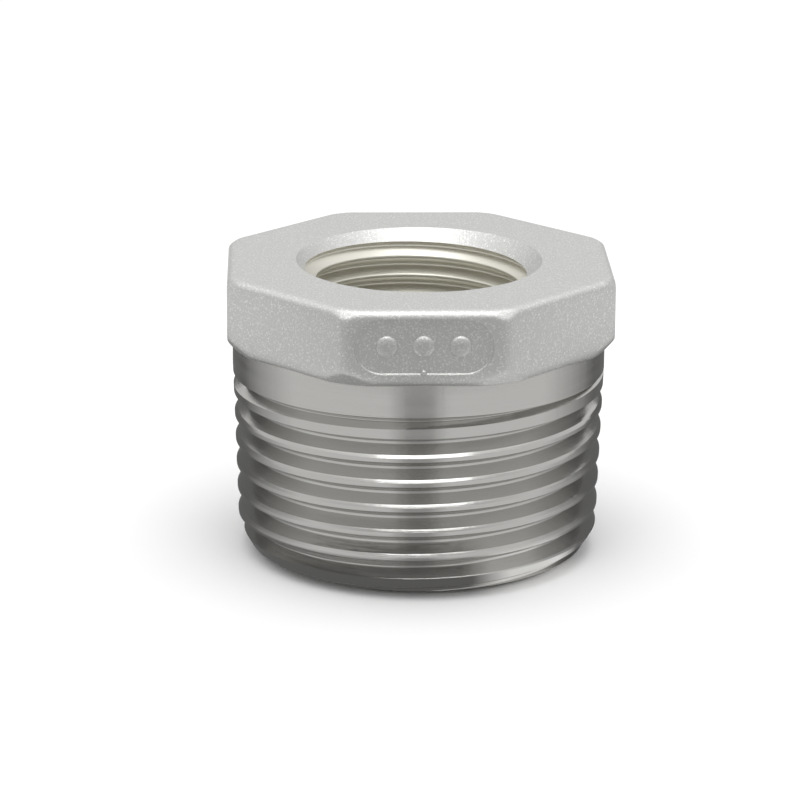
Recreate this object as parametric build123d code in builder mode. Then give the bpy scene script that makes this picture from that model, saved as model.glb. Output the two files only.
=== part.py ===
from build123d import *
import os
from math import atan, cos, degrees, radians, tan

# Octagon-headed reducing bushing, cast in one piece of stainless steel and then machined.
# The male end face lies on z = 0, the fitting's axis is +Z and the head is at the top.
# All sizes are in millimetres and degrees.

# Head: an octagon whose corners are turned down to cones above and below
overall_length = 27.0
head_height = 7.0
across_flats = 34.5
flat_count = 8
crown_width = 0.75  # from a corner in to the flat top, and the same below
crown_slope = 50.0

# Neck: a plain collar between the head and the thread
neck_height = 2.8
neck_diameter = 33.7

# Male thread: 1 inch taper pipe thread of 55 degree form, right-handed
pitch = 2.309
thread_depth = 1.479
flank_angle = 27.5
root_flat = 0.385  # between the flanks, where they would reach the root
root_blend = 0.7  # height above the root from which the flanks close to a vee
gauge_diameter = 33.249  # over the crests, at the gauge plane
gauge_length = 10.4  # from the small end to the gauge plane
taper = 1 / 16  # change of diameter along the axis
first_root_height = 1.28  # of the groove's lowest root, on the +X side
run_out_length = 3.0  # below the neck, where the groove grows shallow
run_out_depth = 0.6  # of the groove where it meets the neck
run_out_slope = 20.0
end_face_diameter = 27.1
nose_slope = 25.0  # the flatter bevel next to the end face
lead_width = 0.9495  # the steeper bevel above it, in from the crests' cone at the small end
lead_slope = 60.0

# Bore: 1/2 inch parallel pipe thread, tapped right through and shown at its minor diameter
bore_diameter = 18.631
mouth_diameter = 22.2

# Stock that the helix is cut in, past each end of the finished thread
spare_turns = 3
lead_turns = 2
cutter_clearance = 0.2


def crest_radius(height):
    """Radius over the thread's crests at a height above the male end face."""
    return gauge_diameter / 2 + (height - gauge_length) * taper / 2


head_base = overall_length - head_height
thread_top = head_base - neck_height

# Two bevels round the male end off, and the upper one meets the crests where its slope reaches their cone
nose_radius = crest_radius(0) - lead_width
nose_height = (nose_radius - end_face_diameter / 2) * tan(radians(nose_slope))
lead_spread = 1 / tan(radians(lead_slope)) - taper / 2
lead_height = nose_height + (crest_radius(nose_height) - nose_radius) / lead_spread

# Run-out: the cutter is drawn back along a cone, which closes the groove towards the neck
run_out_radius = crest_radius(thread_top) - run_out_depth
run_out_start = thread_top - run_out_length
run_out_foot = run_out_radius - run_out_length * tan(radians(run_out_slope))

# Threaded shank: a helical groove is cut in a longer cone, which is then turned to its outline
stock_bottom = -spare_turns * pitch
stock_top = thread_top + spare_turns * pitch
groove_start = first_root_height - lead_turns * pitch
groove_end = thread_top + lead_turns * pitch
cut_depth = thread_depth + cutter_clearance
flank_slope = tan(radians(flank_angle))
vee_width = root_flat + 2 * root_blend * flank_slope
cut_width = root_flat + 2 * cut_depth * flank_slope

with BuildPart() as shank:
    with BuildSketch(Plane.XZ):
        with BuildLine():
            Polyline(
                (0, stock_bottom),
                (crest_radius(stock_bottom), stock_bottom),
                (crest_radius(stock_top), stock_top),
                (0, stock_top),
                close=True,
            )
        make_face()
    revolve(axis=Axis.Z)

    helix = Helix(
        pitch,
        groove_end - groove_start,
        crest_radius(groove_start) - thread_depth,
        center=(0, 0, groove_start),
        cone_angle=degrees(atan(taper / 2)),
        mode=Mode.PRIVATE,
    )
    with BuildSketch(Plane(origin=helix @ 0, x_dir=(1, 0, 0), z_dir=helix % 0)):
        with BuildLine():
            Polyline(
                (0, 0),
                (root_blend, -vee_width / 2),
                (cut_depth, -cut_width / 2),
                (cut_depth, cut_width / 2),
                (root_blend, vee_width / 2),
                close=True,
            )
        make_face()
    sweep(path=helix, is_frenet=True, mode=Mode.SUBTRACT)

    with BuildSketch(Plane.XZ):
        with BuildLine():
            Polyline(
                (0, 0),
                (end_face_diameter / 2, 0),
                (nose_radius, nose_height),
                (crest_radius(lead_height), lead_height),
                (crest_radius(thread_top), thread_top),
                (0, thread_top),
                close=True,
            )
        make_face()
    revolve(axis=Axis.Z, mode=Mode.INTERSECT)

    with BuildSketch(Plane.XZ):
        with BuildLine():
            Polyline(
                (0, run_out_start),
                (run_out_foot, run_out_start),
                (run_out_radius, thread_top),
                (0, thread_top),
                close=True,
            )
        make_face()
    revolve(axis=Axis.Z)

# Head on its neck, the threaded shank below and the bore through all three
corner_radius = across_flats / 2 / cos(radians(180 / flat_count))
crown_radius = corner_radius - crown_width
mouth_depth = (mouth_diameter - bore_diameter) / 2

# The cones that trim the corners above and below would meet half-way up, outside the corners
meeting_radius = crown_radius + head_height / 2 / tan(radians(crown_slope))

with BuildPart() as bushing:
    with BuildSketch(Plane.XY.offset(head_base)):
        RegularPolygon(
            across_flats / 2, flat_count, major_radius=False, rotation=180 / flat_count
        )
    extrude(amount=head_height)
    with BuildSketch(Plane.XZ):
        with BuildLine():
            Polyline(
                (0, head_base),
                (crown_radius, head_base),
                (meeting_radius, head_base + head_height / 2),
                (crown_radius, overall_length),
                (0, overall_length),
                close=True,
            )
        make_face()
    revolve(axis=Axis.Z, mode=Mode.INTERSECT)

    with BuildSketch(Plane.XY.offset(thread_top)):
        Circle(neck_diameter / 2)
    extrude(amount=neck_height)
    add(shank.part)

    with BuildSketch(Plane.XZ):
        with BuildLine():
            Polyline(
                (0, 0),
                (bore_diameter / 2, 0),
                (bore_diameter / 2, overall_length - mouth_depth),
                (mouth_diameter / 2, overall_length),
                (0, overall_length),
                close=True,
            )
        make_face()
    revolve(axis=Axis.Z, mode=Mode.SUBTRACT)

bushing.part.label = "bushing"
os.makedirs("parts", exist_ok=True)
export_step(bushing.part, "parts/bushing.step")
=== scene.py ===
from math import cos, pi, radians, sin, tan

import bpy
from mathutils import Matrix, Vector


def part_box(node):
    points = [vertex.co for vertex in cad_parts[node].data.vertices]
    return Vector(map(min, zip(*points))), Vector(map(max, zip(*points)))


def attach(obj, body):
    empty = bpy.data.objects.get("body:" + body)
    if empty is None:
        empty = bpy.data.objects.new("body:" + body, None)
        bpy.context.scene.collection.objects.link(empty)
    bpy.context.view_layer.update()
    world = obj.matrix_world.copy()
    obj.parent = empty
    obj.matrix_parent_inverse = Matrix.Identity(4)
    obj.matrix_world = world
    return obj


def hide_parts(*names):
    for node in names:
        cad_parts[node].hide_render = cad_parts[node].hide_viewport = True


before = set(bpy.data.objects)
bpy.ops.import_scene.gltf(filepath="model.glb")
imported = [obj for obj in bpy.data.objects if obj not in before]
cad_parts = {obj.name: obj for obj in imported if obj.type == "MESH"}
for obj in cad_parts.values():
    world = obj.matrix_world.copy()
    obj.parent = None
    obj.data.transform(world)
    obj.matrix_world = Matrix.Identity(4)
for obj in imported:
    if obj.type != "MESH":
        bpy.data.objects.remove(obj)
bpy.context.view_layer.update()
bushingLow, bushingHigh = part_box("bushing")

mm = 0.001  # pieces are modelled with 1 unit to the millimetre, then brought to metres
tiny = 0.0015  # millimetres, closer points are one point

# sizes, in millimetres

wholeFitting = {
    "length": (bushingHigh.z - bushingLow.z) / mm,
    "acrossFlats": (bushingHigh.x - bushingLow.x) / mm,
    "turnedFacets": 192,  # round the axis, on every turned surface
    "smoothAngle": 32.0,  # edges sharper than this stay sharp
}

headShape = {
    "height": 7.0,
    "flats": 8,
    "crownWidth": 0.75,  # from a corner in to the flat top
    "lowCrownWidth": 1.35,  # and in to the flat underside
    "crownSlope": 50.0,
    "cornerRound": 1.2,  # down the eight corners
    "topRimRound": 0.62,
    "lowRimRound": 1.0,
    "cornerSteps": 5,
    "rimSteps": 4,
    "castGrid": 0.21,  # grid that the casting's edges are softened on
    "castSoftening": 5,
    "castKeep": 0.30,  # share of the grid's faces kept
}

cartouche = {
    "width": 12.1,
    "height": 5.0,
    "middle": (-0.15, 23.8),  # along the flat, and above the male end
    "depth": 0.30,
    "edgeRound": 0.16,
    "pipSpacing": 3.2,
    "pipRadius": 0.95,
    "pipHeight": 0.30,
    "nibRadius": 0.28,  # a bead on the lower edge
    "endShare": 0.96,  # of half the height, rounded off at each end
    "endSteps": 12,
    "edgeSteps": 3,
}

neckShape = {"height": 2.8, "diameter": 33.7, "edgeRound": 0.12}

maleThread = {
    "pitch": 2.309,
    "depth": 1.479,
    "flankAngle": 27.5,
    "shoulder": 0.27,  # 45 degree bevel on the upper edge of each crest
    "shoulderRound": 0.08,
    "crestRound": 0.05,
    "rootRound": 0.09,
    "rootFlat": 0.28,
    "gaugeDiameter": 33.249,  # over the crests, at the gauge plane
    "gaugeLength": 10.4,
    "taper": 1 / 16,
    "firstRootHeight": 1.28,  # on the +X side
    "endFaceDiameter": 27.1,
    "noseWidth": 1.8,
    "noseSlope": 25.0,
    "leadSlope": 60.0,
    "runOutLength": 2.4,  # below the neck, where the cutter is drawn back
    "runOutDraw": 0.42,  # drawn back for each millimetre of height
    "arcSteps": 3,
}

boreThread = {
    "pitch": 1.814,
    "depth": 1.162,
    "flankAngle": 27.5,
    "shoulder": 0.0,
    "crestRound": 0.14,
    "rootRound": 0.14,
    "rootFlat": 0.302,
    "majorDiameter": 20.955,
    "mouthDiameter": 22.2,
    "firstRootHeight": 0.6,  # on the +X side
    "arcSteps": 2,
}


def crestRadius(height):
    gaugeRadius = maleThread["gaugeDiameter"] / 2
    return gaugeRadius + (height - maleThread["gaugeLength"]) * maleThread["taper"] / 2


# modelling helpers


def pickNothing():
    if bpy.context.object and bpy.context.object.mode != "OBJECT":
        bpy.ops.object.mode_set(mode="OBJECT")
    bpy.ops.object.select_all(action="DESELECT")


def takeUp(piece):
    pickNothing()
    piece.select_set(True)
    bpy.context.view_layer.objects.active = piece


def drawProfile(name, points):
    # one vertex drawn out along the points, each given as (radius, height)
    pickNothing()
    bpy.ops.mesh.primitive_plane_add(size=1, location=(0, 0, 0))
    piece = bpy.context.object
    piece.name = name
    bpy.ops.object.mode_set(mode="EDIT")
    bpy.ops.mesh.select_mode(type="VERT")
    bpy.ops.mesh.select_all(action="SELECT")
    bpy.ops.mesh.merge(type="CENTER")
    radius, height = points[0]
    bpy.ops.transform.translate(value=(radius, 0, height))
    for nextRadius, nextHeight in points[1:]:
        step = (nextRadius - radius, 0, nextHeight - height)
        bpy.ops.mesh.extrude_vertices_move(TRANSFORM_OT_translate={"value": step})
        radius, height = nextRadius, nextHeight
    return piece


def turnOnLathe(name, points, steps):
    piece = drawProfile(name, points)
    bpy.ops.mesh.select_all(action="SELECT")
    bpy.ops.mesh.spin(steps=steps, angle=2 * pi, center=(0, 0, 0), axis=(0, 0, 1))
    bpy.ops.mesh.select_all(action="SELECT")
    bpy.ops.mesh.remove_doubles(threshold=tiny)
    bpy.ops.mesh.normals_make_consistent(inside=False)
    bpy.ops.object.mode_set(mode="OBJECT")
    return piece


def roundCorners(points, roundings, steps):
    # each inner corner of the line becomes an arc that touches both of its sides
    line = [points[0]]
    for before, corner, after, rounding in zip(points, points[1:], points[2:], roundings):
        middle = Vector(corner)
        back, ahead = Vector(before) - middle, Vector(after) - middle
        opening = back.angle(ahead)
        reach = rounding / tan(opening / 2)
        centre = middle + (back.normalized() + ahead.normalized()).normalized() * (
            rounding / sin(opening / 2)
        )
        start = middle + back.normalized() * reach - centre
        sweep = pi - opening
        side = 1 if start.cross(middle - centre) > 0 else -1
        for step in range(steps + 1):
            turn = side * sweep * step / steps
            x = centre.x + start.x * cos(turn) - start.y * sin(turn)
            y = centre.y + start.x * sin(turn) + start.y * cos(turn)
            line.append((x, y))
    line.append(points[-1])
    return line


def threadSection(thread, crest):
    # one pitch of the section, from the middle of a root up to the next: (radius, height) points
    flank = tan(radians(thread["flankAngle"]))
    depth, shoulder = thread["depth"], thread["shoulder"]
    root, pitch = crest - depth, thread["pitch"]
    rootFlat = thread["rootFlat"] / 2
    underside = rootFlat + depth * flank
    upper = pitch - rootFlat - (depth - shoulder) * flank
    corners = [(root, 0), (root, rootFlat), (crest, underside)]
    corners += [(crest, upper - shoulder)]
    roundings = [thread["rootRound"], thread["crestRound"], thread["crestRound"]]
    if shoulder > 0:
        corners.append((crest - shoulder, upper))
        roundings.append(thread["shoulderRound"])
    corners += [(root, pitch - rootFlat), (root, pitch)]
    roundings.append(thread["rootRound"])
    return roundCorners(corners, roundings, thread["arcSteps"])


def cutThread(name, thread, crest, low, high):
    # a threaded rod from low to high: the section screwed up the axis and closed at its ends
    pitch = thread["pitch"]
    turnsBelow = int((thread["firstRootHeight"] - low) / pitch) + 2
    bottom = thread["firstRootHeight"] - turnsBelow * pitch
    turns = int((high - bottom) / pitch) + 2
    rod = drawProfile(name, threadSection(thread, crest))
    bpy.ops.mesh.select_all(action="SELECT")
    bpy.ops.transform.translate(value=(0, 0, bottom))
    bpy.ops.object.mode_set(mode="OBJECT")
    screw = rod.modifiers.new("Screw", "SCREW")
    screw.angle = 2 * pi
    screw.screw_offset = pitch
    screw.iterations = turns
    screw.steps = screw.render_steps = wholeFitting["turnedFacets"]
    screw.use_smooth_shade = False
    bpy.ops.object.modifier_apply(modifier=screw.name)
    bpy.ops.object.mode_set(mode="EDIT")
    bpy.ops.mesh.select_all(action="SELECT")
    bpy.ops.mesh.remove_doubles(threshold=tiny)
    for height, upward in ((low, -1), (high, 1)):
        bpy.ops.mesh.select_all(action="SELECT")
        bpy.ops.mesh.bisect(
            plane_co=(0, 0, height), plane_no=(0, 0, upward), use_fill=True, clear_outer=True
        )
    bpy.ops.mesh.select_all(action="SELECT")
    bpy.ops.mesh.normals_make_consistent(inside=False)
    bpy.ops.object.mode_set(mode="OBJECT")
    return rod


def applyModifier(piece, kind, settings):
    takeUp(piece)
    modifier = piece.modifiers.new(kind.title(), kind)
    for setting, value in settings.items():
        setattr(modifier, setting, value)
    bpy.ops.object.modifier_apply(modifier=modifier.name)


def combine(piece, other, operation):
    applyModifier(
        piece,
        "BOOLEAN",
        {
            "object": other,
            "operation": operation,
            "solver": "MANIFOLD",
            "material_mode": "TRANSFER",
        },
    )
    bpy.data.objects.remove(other)


def paintAll(piece, material):
    piece.data.materials.clear()
    piece.data.materials.append(material)


# materials


def linear(code):
    channels = [int(code[i : i + 2], 16) / 255 for i in (1, 3, 5)]
    return [c / 12.92 if c <= 0.04045 else ((c + 0.055) / 1.055) ** 2.4 for c in channels] + [1]


def newMaterial(name):
    material = bpy.data.materials.new(name)
    material.use_nodes = True
    return material, material.node_tree.nodes["Principled BSDF"]


def addNode(material, kind, settings=None, inputs=None):
    tree = material.node_tree
    node = tree.nodes.new(kind)
    for setting, value in (settings or {}).items():
        setattr(node, setting, value)
    for socket, value in (inputs or {}).items():
        if isinstance(value, bpy.types.NodeSocket):
            tree.links.new(value, node.inputs[socket])
        else:
            node.inputs[socket].default_value = value
    return node


def link(material, output, socket):
    material.node_tree.links.new(output, socket)


blastedFinish = {
    "colour": "#D4D4D2",
    "paleColour": "#F8F8F6",  # on the highest grains
    "roughness": 0.46,
    "grain": 0.17,  # mm across one grain
    "grainDepth": 0.034,
    "swell": 0.9,  # mm across the soft lumps under the grain
    "swellDepth": 0.030,
}


def noiseOf(material, vector, size, detail=2.0, roughness=0.5):
    # noise whose spots are about so many millimetres across
    settings = {"Vector": vector, "Scale": 1 / (size * mm)}
    settings.update({"Detail": detail, "Roughness": roughness})
    return addNode(material, "ShaderNodeTexNoise", inputs=settings).outputs["Fac"]


def bumpOf(material, height, depth, below=None):
    inputs = {"Height": height, "Strength": 1.0, "Distance": depth * mm}
    if below:
        inputs["Normal"] = below
    return addNode(material, "ShaderNodeBump", inputs=inputs).outputs["Normal"]


def rangeOf(material, value, low, high, out):
    inputs = {"Value": value, "From Min": low, "From Max": high, "To Min": out[0], "To Max": out[1]}
    return addNode(material, "ShaderNodeMapRange", inputs=inputs).outputs["Result"]


def blastedCastSteel():
    # cast stainless steel, sand blasted: an even grey with a fine bright grain, no clear reflection
    material, shader = newMaterial("blasted cast stainless steel")
    finish = blastedFinish
    place = addNode(material, "ShaderNodeTexCoord").outputs["Object"]
    grain = noiseOf(material, place, finish["grain"], 3.0, 0.6)
    swell = noiseOf(material, place, finish["swell"])
    tops = rangeOf(material, grain, 0.52, 0.72, (0.0, 1.0))
    colour = addNode(
        material,
        "ShaderNodeMix",
        {"data_type": "RGBA"},
        {0: tops, 6: linear(finish["colour"]), 7: linear(finish["paleColour"])},
    ).outputs[2]
    link(material, colour, shader.inputs["Base Color"])
    shader.inputs["Metallic"].default_value = 1.0
    shader.inputs["Roughness"].default_value = finish["roughness"]
    lumps = bumpOf(material, swell, finish["swellDepth"])
    link(material, bumpOf(material, grain, finish["grainDepth"], lumps), shader.inputs["Normal"])
    return material


turnedFinish = {
    "colour": "#C9C8C5",
    "roughness": (0.13, 0.27),  # on the smooth bands and on the torn ones
    "anisotropic": 0.4,
    "markHeight": 0.12,  # mm from one tool mark to the next
    "markLength": 9.0,  # mm before a mark fades into its neighbour
    "markDepth": 0.010,
    "bandHeight": 0.5,
    "chatterWidth": 1.1,  # mm round the axis, of the faint upright streaks
    "chatterDepth": 0.020,
}


def turnedSteel():
    # stainless steel turned on a lathe: bright, with streaks drawn out along the cut
    material, shader = newMaterial("turned stainless steel")
    finish = turnedFinish
    place = addNode(material, "ShaderNodeTexCoord").outputs["Object"]
    stretch = finish["markHeight"] / finish["markLength"]
    along = addNode(
        material, "ShaderNodeMapping", inputs={"Vector": place, "Scale": (stretch, stretch, 1.0)}
    ).outputs["Vector"]
    marks = noiseOf(material, along, finish["markHeight"], 2.0, 0.6)
    bands = noiseOf(material, along, finish["bandHeight"])
    shader.inputs["Base Color"].default_value = linear(finish["colour"])
    shader.inputs["Metallic"].default_value = 1.0
    link(
        material,
        rangeOf(material, bands, 0.35, 0.65, finish["roughness"]),
        shader.inputs["Roughness"],
    )
    shader.inputs["Anisotropic"].default_value = finish["anisotropic"]
    shader.inputs["Anisotropic Rotation"].default_value = 0.25
    tangent = addNode(material, "ShaderNodeTangent", {"direction_type": "RADIAL", "axis": "Z"})
    link(material, tangent.outputs["Tangent"], shader.inputs["Tangent"])
    upright = addNode(
        material, "ShaderNodeMapping", inputs={"Vector": place, "Scale": (1.0, 1.0, 0.06)}
    ).outputs["Vector"]
    chatter = bumpOf(
        material, noiseOf(material, upright, finish["chatterWidth"]), finish["chatterDepth"]
    )
    link(material, bumpOf(material, marks, finish["markDepth"], chatter), shader.inputs["Normal"])
    return material


# painted light: this colour is lighter and warmer than the turned steel's and stands in for the
# light that reaches inside the bore
tappedFinish = {"colour": "#E6E4DA", "roughness": 0.40, "markHeight": 0.09, "markDepth": 0.003}


def tappedSteel():
    # stainless steel cut with a tap: its colour is painted lighter and warmer than the turned
    # steel's, painted light for the light inside the bore
    material, shader = newMaterial("tapped stainless steel")
    finish = tappedFinish
    place = addNode(material, "ShaderNodeTexCoord").outputs["Object"]
    along = addNode(
        material, "ShaderNodeMapping", inputs={"Vector": place, "Scale": (0.02, 0.02, 1.0)}
    ).outputs["Vector"]
    marks = noiseOf(material, along, finish["markHeight"], 2.0, 0.6)
    shader.inputs["Base Color"].default_value = linear(finish["colour"])
    shader.inputs["Metallic"].default_value = 1.0
    shader.inputs["Roughness"].default_value = finish["roughness"]
    link(material, bumpOf(material, marks, finish["markDepth"]), shader.inputs["Normal"])
    return material


castSteel = blastedCastSteel()
brightSteel = turnedSteel()
boreSteel = tappedSteel()

# the head

print("head")
length = wholeFitting["length"]
headBase = length - headShape["height"]
neckBase = headBase - neckShape["height"]
cornerRadius = wholeFitting["acrossFlats"] / 2 / cos(pi / headShape["flats"])
facets = wholeFitting["turnedFacets"]


def sinkCartouche(head):
    # a shallow pocket with round ends in the front flat, with three plain pips and a nib in it
    face = -wholeFitting["acrossFlats"] / 2
    depth = cartouche["depth"]
    across, middle = cartouche["middle"]
    width, height = cartouche["width"], cartouche["height"]
    pickNothing()
    bpy.ops.mesh.primitive_cube_add(
        size=1, location=(across, face, middle), scale=(width, 2 * depth, height)
    )
    pocket = bpy.context.object
    bpy.ops.object.transform_apply(location=True, rotation=True, scale=True)
    pocketFloor = face + depth

    def runsInward(start, end):
        return abs(start.y - end.y) > depth

    def liesOnFloor(start, end):
        return min(start.y, end.y) > pocketFloor - tiny

    endRound = height / 2 * cartouche["endShare"]
    for isEdge, offset, steps in (
        (runsInward, endRound, cartouche["endSteps"]),
        (liesOnFloor, cartouche["edgeRound"], cartouche["edgeSteps"]),
    ):
        bpy.ops.object.mode_set(mode="EDIT")
        bpy.ops.mesh.select_mode(type="EDGE")
        bpy.ops.mesh.select_all(action="DESELECT")
        bpy.ops.object.mode_set(mode="OBJECT")
        for edge in pocket.data.edges:
            edge.select = isEdge(*(pocket.data.vertices[i].co for i in edge.vertices))
        bpy.ops.object.mode_set(mode="EDIT")
        bpy.ops.mesh.bevel(offset=offset, segments=steps)
        bpy.ops.object.mode_set(mode="OBJECT")
    combine(head, pocket, "DIFFERENCE")
    spacing, radius = cartouche["pipSpacing"], cartouche["pipRadius"]
    for place in (-spacing, 0, spacing):
        pickNothing()
        bpy.ops.mesh.primitive_uv_sphere_add(
            segments=40,
            ring_count=20,
            radius=radius,
            location=(across + place, pocketFloor, middle),
        )
        pip = bpy.context.object
        pip.scale = (1, cartouche["pipHeight"] / radius, 1)
        bpy.ops.object.transform_apply(location=True, rotation=True, scale=True)
        combine(head, pip, "UNION")
    pickNothing()
    bpy.ops.mesh.primitive_uv_sphere_add(
        segments=24,
        ring_count=12,
        radius=cartouche["nibRadius"],
        location=(across, pocketFloor, middle - height / 2 + cartouche["edgeRound"]),
    )
    combine(head, bpy.context.object, "UNION")


def buildHead():
    pickNothing()
    bpy.ops.mesh.primitive_cylinder_add(
        vertices=headShape["flats"],
        radius=cornerRadius,
        depth=headShape["height"],
        location=(0, 0, headBase + headShape["height"] / 2),
        rotation=(0, 0, pi / headShape["flats"]),
    )
    head = bpy.context.object
    head.name = "head"
    bpy.ops.object.transform_apply(location=True, rotation=True, scale=True)
    # round the eight upright corners
    bpy.ops.object.mode_set(mode="EDIT")
    bpy.ops.mesh.select_mode(type="EDGE")
    bpy.ops.mesh.select_all(action="DESELECT")
    bpy.ops.object.mode_set(mode="OBJECT")
    for edge in head.data.edges:
        first, second = (head.data.vertices[i].co for i in edge.vertices)
        edge.select = abs(first.z - second.z) > headShape["height"] / 2
    bpy.ops.object.mode_set(mode="EDIT")
    cornerReach = headShape["cornerRound"] * tan(pi / headShape["flats"])
    bpy.ops.mesh.bevel(offset=cornerReach, segments=headShape["cornerSteps"])
    bpy.ops.object.mode_set(mode="OBJECT")
    # round the rim of the top face, and more the rim of the underside
    for height, rounding in ((length, "topRimRound"), (headBase, "lowRimRound")):
        bpy.ops.object.mode_set(mode="EDIT")
        bpy.ops.mesh.select_all(action="DESELECT")
        bpy.ops.object.mode_set(mode="OBJECT")
        for edge in head.data.edges:
            ends = (head.data.vertices[i].co for i in edge.vertices)
            edge.select = all(abs(end.z - height) < tiny for end in ends)
        bpy.ops.object.mode_set(mode="EDIT")
        bpy.ops.mesh.bevel(
            offset=headShape[rounding], segments=headShape["rimSteps"], clamp_overlap=True
        )
        bpy.ops.object.mode_set(mode="OBJECT")
    # turn the corners down to a cone above and a cone below
    slope = tan(radians(headShape["crownSlope"]))
    crownRadius = cornerRadius - headShape["crownWidth"]
    lowCrownRadius = cornerRadius - headShape["lowCrownWidth"]
    half = headShape["height"] / 2
    meeting = (crownRadius - lowCrownRadius) * slope / 2 + half  # above the head's base
    outline = [
        (0, headBase - 1),
        (lowCrownRadius - 1 / slope, headBase - 1),
        (lowCrownRadius + meeting / slope, headBase + meeting),
        (crownRadius - 1 / slope, length + 1),
        (0, length + 1),
    ]
    combine(head, turnOnLathe("crown", outline, facets), "INTERSECT")
    # soften every edge, as a casting from a wax pattern has it
    applyModifier(head, "REMESH", {"mode": "VOXEL", "voxel_size": headShape["castGrid"]})
    applyModifier(head, "SMOOTH", {"factor": 0.5, "iterations": headShape["castSoftening"]})
    applyModifier(head, "DECIMATE", {"ratio": headShape["castKeep"]})
    sinkCartouche(head)
    paintAll(head, castSteel)
    return head


head = buildHead()

# neck, male thread and end


def buildShank():
    neckRadius = neckShape["diameter"] / 2
    endRadius = maleThread["endFaceDiameter"] / 2
    noseRadius = endRadius + maleThread["noseWidth"]
    noseHeight = maleThread["noseWidth"] * tan(radians(maleThread["noseSlope"]))
    leadSpread = 1 / tan(radians(maleThread["leadSlope"])) - maleThread["taper"] / 2
    leadHeight = noseHeight + (crestRadius(noseHeight) - noseRadius) / leadSpread
    clear = 1.0
    rod = cutThread("shank", maleThread, crestRadius(0), -clear, neckBase + clear)
    reach = neckBase + 2 * clear
    applyModifier(
        rod,
        "SIMPLE_DEFORM",
        {
            "deform_method": "TAPER",
            "deform_axis": "Z",
            "factor": reach * maleThread["taper"] / 2 / crestRadius(0),
        },
    )
    # the cutter is drawn back towards the neck, so the last groove is shallow and its land wide
    start = neckBase - maleThread["runOutLength"]
    drawBack = maleThread["runOutDraw"] * (neckBase + clear - start) / crestRadius(start)
    bpy.ops.transform.translate(value=(0, 0, -start))
    bpy.ops.object.transform_apply(location=True, rotation=False, scale=False)
    applyModifier(
        rod,
        "SIMPLE_DEFORM",
        {
            "deform_method": "TAPER",
            "deform_axis": "Z",
            "factor": drawBack,
            "limits": ((start + clear) / reach, 1.0),
        },
    )
    bpy.ops.transform.translate(value=(0, 0, start))
    bpy.ops.object.transform_apply(location=True, rotation=False, scale=False)
    outline = [
        (0, 0),
        (endRadius, 0),
        (noseRadius, noseHeight),
        (crestRadius(leadHeight), leadHeight),
        (crestRadius(neckBase + clear / 2), neckBase + clear / 2),
        (0, neckBase + clear / 2),
    ]
    combine(rod, turnOnLathe("shank outline", outline, facets), "INTERSECT")
    edge = neckShape["edgeRound"]
    neck = [
        (0, neckBase),
        (neckRadius - edge, neckBase),
        (neckRadius, neckBase + edge),
        (neckRadius, headBase + clear),
        (0, headBase + clear),
    ]
    combine(rod, turnOnLathe("neck", neck, facets), "UNION")
    paintAll(rod, brightSteel)
    return rod


print("shank")
shank = buildShank()

# bore


def buildBoreCutter():
    clear = 1.0
    majorRadius = boreThread["majorDiameter"] / 2
    cutter = cutThread("bore cutter", boreThread, majorRadius, -clear, length + clear)
    mouthRadius = boreThread["mouthDiameter"] / 2
    inner = majorRadius - boreThread["depth"]
    mouth = [
        (0, length - (mouthRadius - inner)),
        (inner, length - (mouthRadius - inner)),
        (mouthRadius + clear, length + clear),
        (0, length + clear),
    ]
    paintAll(cutter, boreSteel)
    mouthCutter = turnOnLathe("mouth", mouth, facets)
    paintAll(mouthCutter, castSteel)
    combine(cutter, mouthCutter, "UNION")
    return cutter


print("bore")
bushing = head
combine(bushing, shank, "UNION")
combine(bushing, buildBoreCutter(), "DIFFERENCE")
bushing.name = "reducing_bushing"
takeUp(bushing)
bpy.ops.object.mode_set(mode="EDIT")
bpy.ops.mesh.select_mode(type="VERT")
bpy.ops.mesh.select_all(action="SELECT")
bpy.ops.mesh.remove_doubles(threshold=tiny)
bpy.ops.mesh.dissolve_degenerate(threshold=tiny / 10)
bpy.ops.mesh.delete_loose()
bpy.ops.mesh.select_all(action="SELECT")
bpy.ops.mesh.normals_make_consistent(inside=False)
bpy.ops.object.mode_set(mode="OBJECT")
bpy.ops.transform.resize(value=(mm, mm, mm))
bpy.ops.object.transform_apply(location=True, rotation=True, scale=True)
bpy.ops.object.shade_smooth_by_angle(angle=radians(wholeFitting["smoothAngle"]))
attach(bushing, "root")
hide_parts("bushing")
print("triangles", sum(len(p.vertices) - 2 for p in bushing.data.polygons))

# studio and camera

studio = {
    "distance": 350.0,  # mm from the lens to the point looked at
    "elevation": 17.4,
    "azimuth": -1.8,  # towards -X
    "lookAt": (-1.65, 13.65),  # mm right of the axis and above the floor
    "lens": 172.8,
    "roll": 0.37,
    "lampSize": (330, 420),
    "lampPlace": (0, -110, 500),
    "lampPower": 0.85,  # watts
    "floorSize": 6,  # metres
    "cardSteps": 60,
    "sky": ((0.0, 0.35), (0.3, 0.66), (0.6, 1.0)),  # height of the direction, brightness
}

print("studio")


def placeCamera():
    elevation, azimuth = radians(studio["elevation"]), radians(studio["azimuth"])
    away = Vector((sin(azimuth) * cos(elevation), -cos(azimuth) * cos(elevation), sin(elevation)))
    right = Vector((cos(azimuth), sin(azimuth), 0))
    across, up = studio["lookAt"]
    target = (right * across + Vector((0, 0, up))) * mm
    cameraData = bpy.data.cameras.new("camera")
    cameraData.lens = studio["lens"]
    cameraData.sensor_width = 36
    cameraData.clip_start = 0.01
    camera = bpy.data.objects.new("camera", cameraData)
    bpy.context.scene.collection.objects.link(camera)
    camera.location = target + away * studio["distance"] * mm
    camera.rotation_euler = (-away).to_track_quat("-Z", "Y").to_euler()
    camera.rotation_euler.rotate_axis("Z", radians(studio["roll"]))
    bpy.context.scene.camera = camera


placeCamera()


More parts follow.
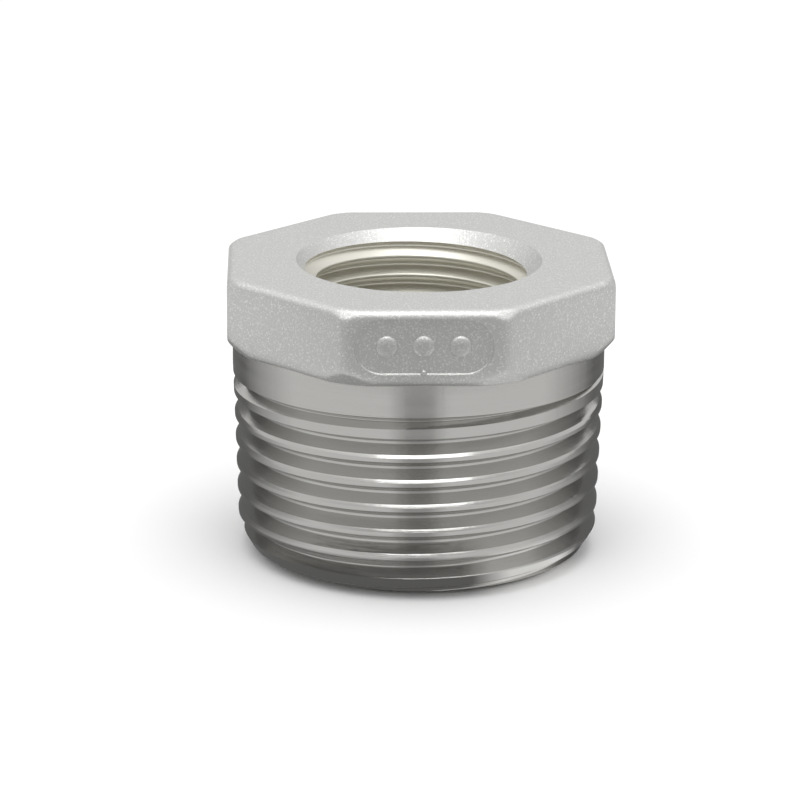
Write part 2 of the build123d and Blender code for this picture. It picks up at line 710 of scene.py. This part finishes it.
def softbox(name, size, place, power):
    lamp = bpy.data.lights.new(name, "AREA")
    lamp.shape = "RECTANGLE"
    lamp.size, lamp.size_y = (side * mm for side in size)
    lamp.energy = power
    lampObject = bpy.data.objects.new(name, lamp)
    bpy.context.scene.collection.objects.link(lampObject)
    lampObject.location = Vector(place) * mm
    lampObject.rotation_euler = (-lampObject.location).to_track_quat("-Z", "Y").to_euler()
    return lampObject


softbox("overhead softbox", studio["lampSize"], studio["lampPlace"], studio["lampPower"])

pickNothing()
bpy.ops.mesh.primitive_plane_add(size=studio["floorSize"], location=(0, 0, 0))
floor = bpy.context.object
floor.name = "floor"
floorMaterial, floorShader = newMaterial("white studio board")
floorShader.inputs["Base Color"].default_value = linear("#FAFAFA")
floorShader.inputs["Roughness"].default_value = 0.9
floorShader.inputs["Specular IOR Level"].default_value = 0.0
paintAll(floor, floorMaterial)

# glowing cards that only the metal sees, which paint reflections on it: upright ones, dark at each
# side, which paint the dark edges, and grey at the lens, which paint a grey band down the front,
# and one lying round the foot, whose dark part paints shade and whose white part a highlight in the
# end chamfer. Each stop is degrees round from the front and brightness, and the edges between two
# levels are soft
paintedReflectionLevels = {"dark": 0.15, "grey": 0.40, "open": 0.75, "white": 1.0}
uprightCard = {
    "line": ((24, 0.1), (24, 18.5)),  # radius and height of the two edges, mm
    "glow": (
        ((-160, "open"), (-125, "dark"), (-95, "dark"), (-55, "open"), (-12, "open"))
        + ((-4, "grey"), (4, "grey"), (12, "open"), (55, "open"), (95, "dark"))
        + ((125, "dark"), (160, "open"))
    ),
}
headCard = {
    "line": ((24, 18.6), (24, 27)),
    "glow": (
        ((-160, "open"), (-60, "open"), (-10, "grey"), (10, "grey"), (60, "open"), (160, "open"))
    ),
}
# painted reflections in the end chamfer: shade on most of it, a white highlight on its right side
lyingCard = {
    "line": ((14.3, 0.1), (24, 0.1)),
    "glow": (
        ((-150, "dark"), (20, "dark"), (35, "white"), (60, "white"), (75, "dark"), (150, "dark"))
    ),
}


# a glowing card that only glossy reflections see, so it paints reflections on the metal and nothing
# else
def reflectionPaintingCard(name, settings):
    glow = settings["glow"]
    start, end = glow[0][0], glow[-1][0]
    card = drawProfile(name, settings["line"])
    bpy.ops.mesh.select_all(action="SELECT")
    bpy.ops.mesh.spin(
        steps=studio["cardSteps"], angle=radians(end - start), center=(0, 0, 0), axis=(0, 0, 1)
    )
    bpy.ops.object.mode_set(mode="OBJECT")
    card.rotation_euler.z = radians(270 + studio["azimuth"] + end)
    card.scale = (mm, mm, mm)
    bpy.ops.object.transform_apply(location=True, rotation=True, scale=True)
    material = bpy.data.materials.new(name)
    material.use_nodes = True
    material.node_tree.nodes.remove(material.node_tree.nodes["Principled BSDF"])
    place = addNode(material, "ShaderNodeTexCoord").outputs["Object"]
    toFront = (0, 0, radians(90 - studio["azimuth"]))
    turned = addNode(material, "ShaderNodeMapping", inputs={"Vector": place, "Rotation": toFront})
    aroundAxis = addNode(
        material,
        "ShaderNodeTexGradient",
        {"gradient_type": "RADIAL"},
        {"Vector": turned.outputs["Vector"]},
    )
    ramp = addNode(material, "ShaderNodeValToRGB", inputs={"Fac": aroundAxis.outputs["Fac"]})
    stops = ramp.color_ramp.elements
    for number, (degreesRound, level) in enumerate(glow):
        brightness = paintedReflectionLevels[level]
        stop = stops[number] if number < 2 else stops.new(1.0)
        stop.position = 0.5 + degreesRound / 360
        stop.color = (brightness, brightness, brightness, 1)
    emission = addNode(material, "ShaderNodeEmission", inputs={"Color": ramp.outputs["Color"]})
    output = material.node_tree.nodes["Material Output"]
    link(material, emission.outputs["Emission"], output.inputs["Surface"])
    paintAll(card, material)
    card.visible_camera = False
    card.visible_diffuse = False
    card.visible_shadow = False
    card.visible_transmission = False


reflectionPaintingCard("upright card", uprightCard)
reflectionPaintingCard("head card", headCard)
reflectionPaintingCard("lying card", lyingCard)

world = bpy.data.worlds.new("studio")
bpy.context.scene.world = world
world.use_nodes = True
sky = world.node_tree.nodes
skyLinks = world.node_tree.links
direction = sky.new("ShaderNodeTexCoord")
split = sky.new("ShaderNodeSeparateXYZ")
skyLinks.new(direction.outputs["Generated"], split.inputs["Vector"])
ramp = sky.new("ShaderNodeValToRGB")
skyStops = ramp.color_ramp.elements
for number, (position, brightness) in enumerate(studio["sky"]):
    stop = skyStops[number] if number < 2 else skyStops.new(1.0)
    stop.position = position
    stop.color = (brightness, brightness, brightness, 1)
skyLinks.new(split.outputs["Z"], ramp.inputs["Fac"])
skyLinks.new(ramp.outputs["Color"], sky["Background"].inputs["Color"])
sky["Background"].inputs["Strength"].default_value = 1.0

bpy.context.scene.view_settings.view_transform = "Standard"
